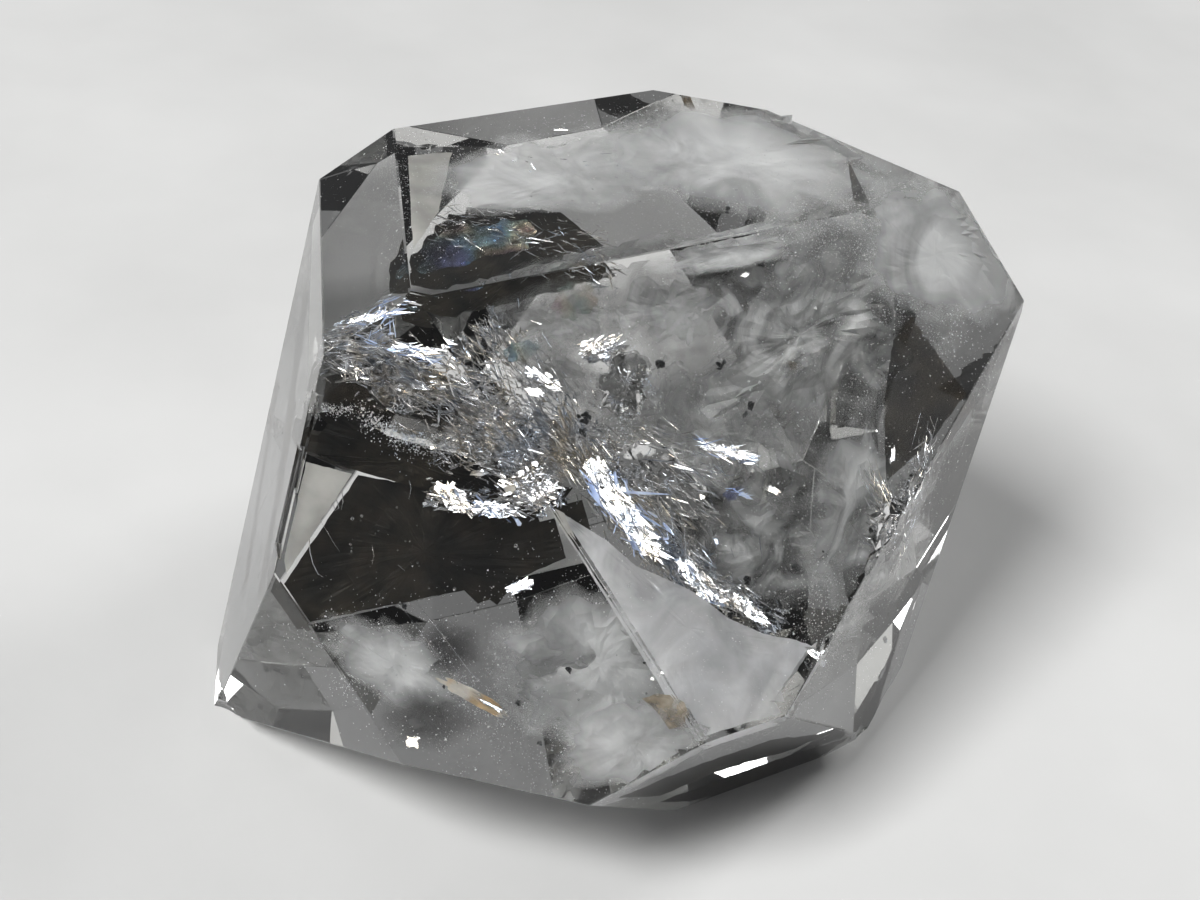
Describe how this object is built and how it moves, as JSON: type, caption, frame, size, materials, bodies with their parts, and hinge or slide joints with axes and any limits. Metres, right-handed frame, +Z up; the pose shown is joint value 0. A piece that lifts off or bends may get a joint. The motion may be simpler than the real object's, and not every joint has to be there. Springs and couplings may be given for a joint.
{
  "type": "herkimer diamond crystal",
  "caption": "Clear doubly terminated quartz crystal, stubby, with flat bright faces, lying on one of its pyramid faces.",
  "frame": {"origin": "under the middle of the crystal's box, on the surface that it rests on", "axes": "+Z up, out of the resting face; +X along the level run of the c axis, which rises towards +X in the XZ plane; the picture looks along +Y, 12 degrees round and 38 degrees down"},
  "size_m": [0.0288, 0.0278, 0.0192],
  "materials": {
    "quartz": "natural vitreous crystal faces, near colourless, with inner veils and specks"
  },
  "bodies": {
    "root": {"quartz_crystal": "quartz"}
  },
  "joints": []
}
